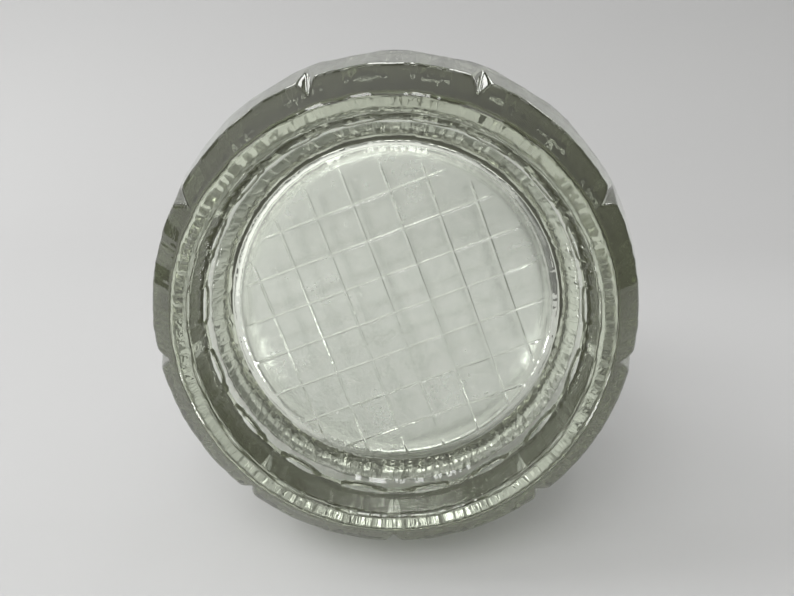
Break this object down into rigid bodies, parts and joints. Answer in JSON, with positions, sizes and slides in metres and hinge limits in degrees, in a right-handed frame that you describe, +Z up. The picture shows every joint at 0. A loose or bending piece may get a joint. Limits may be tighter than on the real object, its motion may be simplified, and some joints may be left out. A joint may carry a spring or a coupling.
{
  "type": "disinfectant jar",
  "caption": "Tall pressed-glass disinfectant jar on a scalloped foot, with a steel lid and a rod, knob and tray lifter that slides through the lid.",
  "frame": {"origin": "on the jar's axis, in the plane that the foot stands on", "axes": "+Z up along the jar's axis; one lobe of the foot has its middle on -Y"},
  "size_m": [0.1488, 0.15, 0.2899],
  "materials": {
    "glass": "thick pressed glass, faint green-grey",
    "steel_polished": "polished stainless",
    "steel_satin": "satin stainless",
    "tray_steel": "fine-blasted stainless",
    "steel_dark": "black oxide",
    "rubber": "pale silicone rubber",
    "nylon": "natural nylon",
    "phenolic": "polished black phenolic",
    "brass": "turned brass"
  },
  "bodies": {
    "jar": {"glass_jar": "glass"},
    "lid": {"lid_shell": "steel_polished", "lid_skirt": "steel_satin", "lid_gasket": "rubber", "rod_bushing": "nylon", "rod_seal": "rubber", "bushing_washer": "steel_satin", "bushing_nut": "steel_satin"},
    "lifter": {"lifter_rod": "steel_polished", "stop_collar": "steel_satin", "stop_screw": "steel_dark", "tray_plate": "tray_steel", "tray_hoop": "tray_steel", "tray_hub": "steel_satin", "hub_jam_nut": "steel_satin", "knob_jam_nut": "steel_satin", "knob_washer": "steel_polished", "knob": "phenolic", "knob_insert": "brass"}
  },
  "joints": [
    {"name": "lid_lift", "type": "slide", "parent": "jar", "child": "lid", "axis": [0, 0, 1], "range_m": [0, 0.21]},
    {"name": "rod_slide", "type": "slide", "parent": "lid", "child": "lifter", "axis": [0, 0, 1], "range_m": [0, 0.16]}
  ]
}
